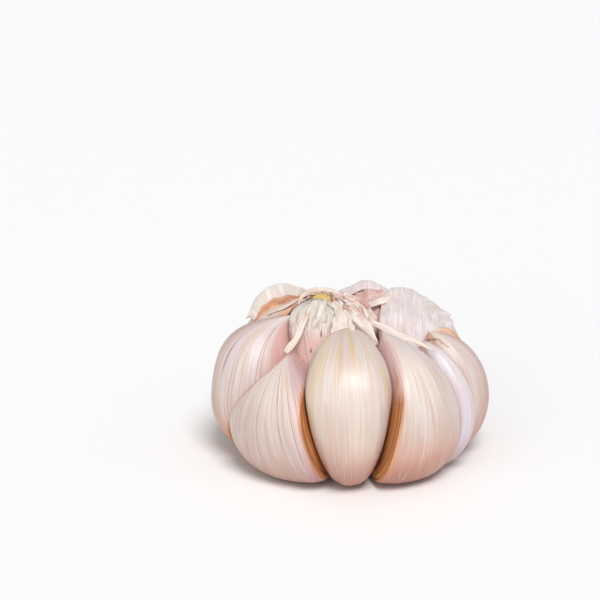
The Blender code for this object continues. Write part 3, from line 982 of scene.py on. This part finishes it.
# Each clove's skin runs up in a dry tail to the neck. A strip follows its path in millimetres,
# with the half widths along it; across is the way its width lies at its first and at its last end.
ribbons = {
    "tailLeft": {
        "seed": 31, "half": [0.5, 1.2, 1.3, 1.2, 0.9, 0.6], "cup": 0.35, "fold": 0.12, "depth": 0.2,
        "across": ((0.2, 1.0, -0.2), (-0.3, 0.9, -0.5)), "node": "skin_left",
        "path": [(-17.6, 4.8, 28.4), (-15.6, 4.2, 29.4), (-13.9, 3.5, 30.3),
                 (-11.7, 2.5, 32.0), (-9.4, 1.6, 33.5), (-7.4, 0.9, 34.3)],
    },
    "tailLeftFold": {
        "seed": 38, "half": [0.3, 0.9, 0.9, 0.6, 0.4], "cup": 0.3, "fold": 0.2, "depth": 0.2, "pink": 0.6,
        "across": ((-0.3, 0.6, -0.6), (-0.3, 0.6, -0.6)),
        "path": [(-15.2, 1.8, 28.2), (-13.6, 1.2, 29.2), (-11.9, 0.5, 31.2),
                 (-10.3, 0.0, 33.0), (-8.2, -0.5, 34.2)],
    },
    "tailFrontRight": {
        "seed": 32, "half": [0.1, 0.7, 1.2, 1.4, 1.1, 0.8, 0.9, 0.8], "cup": 0.4, "fold": 0.1, "depth": 0.15,
        "across": ((0.8, 0.8, 0.1), (0.7, 0.6, -0.3)), "node": "skin_front_right",
        "path": [(17.4, -13.6, 26.6), (13.8, -13.0, 28.7), (10.0, -11.6, 29.6), (7.0, -9.3, 30.7),
                 (4.6, -7.2, 31.0), (2.6, -4.9, 32.0), (0.4, -2.6, 33.6), (-2.2, -0.8, 34.3)],
    },
    "tailFront": {
        "seed": 33, "half": [2.6, 2.4, 1.9, 1.4, 1.1], "cup": 0.25, "fold": 0.2, "depth": 0.25,
        "across": ((1.0, 0.1, 0.0), (1.0, 0.2, 0.0)), "grain": (5, 12),
        "path": [(-1.7, -13.4, 30.3), (-1.7, -10.6, 31.9), (-1.7, -7.4, 32.9),
                 (-2.5, -4.4, 33.5), (-3.6, -2.0, 33.9)],
    },
    "flapFrontRight": {
        "seed": 34, "half": [1.0, 1.4, 1.5, 0.1], "cup": 0.2, "fold": 0.15, "depth": 0.25,
        "across": ((1.0, 0.3, 0.4), (1.0, 0.4, 0.2)), "pink": 0.3,
        "path": [(-1.0, -4.0, 33.8), (1.2, -7.6, 32.0), (3.2, -10.2, 30.2), (5.2, -12.2, 27.6)],
    },
    "knotLow": {
        "seed": 41, "half": [0.5, 0.9, 0.8, 0.4], "cup": 0.6, "fold": 0.2, "depth": 0.2, "pink": 0.8,
        "across": ((0.6, 0.3, 0.6), (0.8, 0.2, -0.3)),
        "path": [(-1.4, -4.8, 33.6), (0.6, -6.2, 32.6), (2.2, -7.0, 31.2), (2.0, -8.4, 30.2)],
    },
    "knotHigh": {
        "seed": 42, "half": [0.5, 0.8, 0.8, 0.4], "cup": 0.6, "fold": 0.2, "depth": 0.2, "pink": 0.7,
        "across": ((0.6, 0.3, 0.6), (0.8, 0.2, 0.3)),
        "path": [(-1.6, -1.8, 34.2), (0.8, -2.8, 33.4), (2.6, -4.2, 32.4), (3.6, -6.2, 30.8)],
    },
    "knotBack": {
        "seed": 43, "half": [0.5, 0.9, 1.0, 0.6], "cup": 0.4, "fold": 0.2, "depth": 0.2, "pink": 0.9,
        "across": ((0.5, 0.6, 0.4), (0.6, 0.6, 0.3)),
        "path": [(-1.4, 1.0, 34.4), (1.4, 0.2, 33.2), (3.6, -1.6, 31.8), (5.4, -4.4, 30.4)],
    },
    "pleatInner": {
        "seed": 44, "half": [1.6, 2.4, 2.4, 1.5, 0.1], "cup": 0.3, "fold": 0.22, "depth": 0.3, "green": 0.35,
        "across": ((1.0, -0.1, 0.0), (1.0, -0.2, 0.1)), "grain": (5, 10),
        "path": [(-5.8, -2.6, 33.5), (-6.6, -4.8, 33.0), (-7.3, -7.2, 31.7),
                 (-8.0, -8.4, 30.0), (-8.4, -8.6, 28.2)],
    },
    "tailFrontLeft": {
        "seed": 35, "half": [0.7, 0.9, 0.7, 0.7, 0.7, 0.5, 0.4], "cup": 0.3, "fold": 0.1, "depth": 0.1,
        "across": ((1.0, -0.3, 0.2), (0.8, -0.5, 0.1)),
        "path": [(-13.6, -13.0, 26.2), (-12.4, -12.4, 27.8), (-11.2, -11.5, 29.2), (-10.6, -10.4, 30.6),
                 (-9.8, -8.6, 32.0), (-9.0, -5.8, 33.0), (-8.2, -3.0, 33.8)],
    },
    "strandBack": {
        "seed": 36, "half": [0.5, 0.9, 0.7, 0.7, 0.5], "cup": 0.3, "fold": 0.1, "depth": 0.15,
        "across": ((0.3, 0.8, 0.5), (0.3, 0.8, 0.5)),
        "path": [(10.4, 9.4, 31.2), (8.0, 7.6, 31.4), (5.4, 5.4, 31.0),
                 (3.2, 3.4, 31.0), (0.4, 1.2, 32.8)],
    },
    "innerFaceBack": {
        "seed": 46, "half": [3.6, 4.2, 4.2, 3.4, 2.4], "cup": 0.12, "fold": 0.05, "depth": 0.35, "pink": 0.6,
        "across": ((1.0, 0.0, 0.0), (1.0, 0.1, 0.0)), "grain": (9, 14), "tint": (242, 206, 202),
        "path": [(4.2, 14.0, 30.8), (4.8, 11.0, 30.5), (5.4, 7.9, 29.3),
                 (6.0, 4.8, 27.4), (6.6, 2.6, 25.0)],
    },
    "innerFaceLeft": {
        "seed": 47, "half": [0.6, 2.4, 3.0, 2.0, 0.9], "cup": -0.12, "fold": 0.05, "depth": 0.25, "pink": 0.4,
        "across": ((0.1, 0.4, 1.0), (0.1, 0.4, 1.0)), "grain": (5, 12), "tint": (236, 176, 140),
        "path": [(-20.4, 9.0, 25.4), (-18.0, 9.0, 26.9), (-15.0, 8.8, 28.4),
                 (-12.2, 8.0, 30.0), (-9.4, 6.2, 31.6)],
    },
    "neckArch": {
        "seed": 45, "half": [0.4, 0.8, 0.9, 0.8, 0.4], "cup": 0.2, "fold": 0.1, "depth": 0.12,
        "across": ((0.0, 0.6, 0.8), (0.0, 0.6, 0.8)), "pink": 0.4,
        "path": [(-11.0, -0.6, 32.6), (-9.6, 2.4, 33.8), (-6.4, 3.8, 34.3),
                 (-3.0, 2.8, 33.9), (-0.2, 0.6, 32.8)],
    },
    "curlRight": {
        "seed": 37, "half": [2.6, 2.9, 2.1, 1.1], "cup": 0.9, "fold": 0.05, "depth": 0.16, "pink": 0.4,
        "tint": (240, 212, 188), "across": ((0.3, 0.9, 0.1), (0.4, 0.8, 0.2)),
        "path": [(23.2, -4.4, 24.8), (20.8, -4.2, 26.6), (18.6, -4.0, 27.3), (16.2, -3.8, 26.6)],
    },
}
for name, plan in ribbons.items():
    piece = ribbon(name, plan)
    tint = plan.get("tint", dryTint)
    pink, green = plan.get("pink", 0.15), plan.get("green", 0)
    paint = papery(name + "Paint", plan["seed"], tint, brown=0.6, pink=pink, green=green)
    handOver(piece, plan.get("node"), paint)
print("papery skins made")


def stageFloor():
    bpy.ops.object.select_all(action="DESELECT")
    bpy.ops.mesh.primitive_plane_add(size=6.0, location=(0, 0, 0))
    floor = bpy.context.object
    floor.name = "paleFloor"
    paint = Paint("paleFloorPaint")
    floor.data.materials.append(paint.finish(Base_Color=tone(247, 247, 247), Roughness=0.9))


def softLight(name, azimuth, elevation, spread, strength):
    # a sun as wide as a softbox, so that the whole floor is lit alike
    lamp = bpy.data.lights.new(name, "SUN")
    lamp.angle = math.radians(spread)
    lamp.energy = strength
    holder = bpy.data.objects.new(name, lamp)
    a, e = math.radians(azimuth), math.radians(elevation)
    way = Vector((math.sin(a) * math.cos(e), -math.cos(a) * math.cos(e), math.sin(e)))
    holder.rotation_euler = (-way).to_track_quat("-Z", "Y").to_euler()
    bpy.context.scene.collection.objects.link(holder)


stageFloor()
lights = {
    "topLight": {"azimuth": 14, "elevation": 55, "spread": 26, "strength": 2.2},
    "frontFill": {"azimuth": -30, "elevation": 25, "spread": 50, "strength": 0.45},
}
for name, plan in lights.items():
    softLight(name, **plan)

roomGlow = 0.42
world = bpy.data.worlds.new("paleRoom")
world.use_nodes = True
world.node_tree.nodes["Background"].inputs["Color"].default_value = (1, 1, 1, 1)
world.node_tree.nodes["Background"].inputs["Strength"].default_value = roomGlow
bpy.context.scene.world = world

view = {"elevation": 18.0, "distance": 0.356, "aim": Vector((-0.0107, 0, 0.0335)), "lens": 100}
cameraData = bpy.data.cameras.new("camera")
cameraData.lens = view["lens"]
camera = bpy.data.objects.new("camera", cameraData)
rise = math.radians(view["elevation"])
back = Vector((0, -math.cos(rise), math.sin(rise)))
camera.location = view["aim"] + back * view["distance"]
camera.rotation_euler = (-back).to_track_quat("-Z", "Y").to_euler()
bpy.context.scene.collection.objects.link(camera)
bpy.context.scene.camera = camera
bpy.context.scene.view_settings.view_transform = "Standard"
print("floor, lights and camera set")
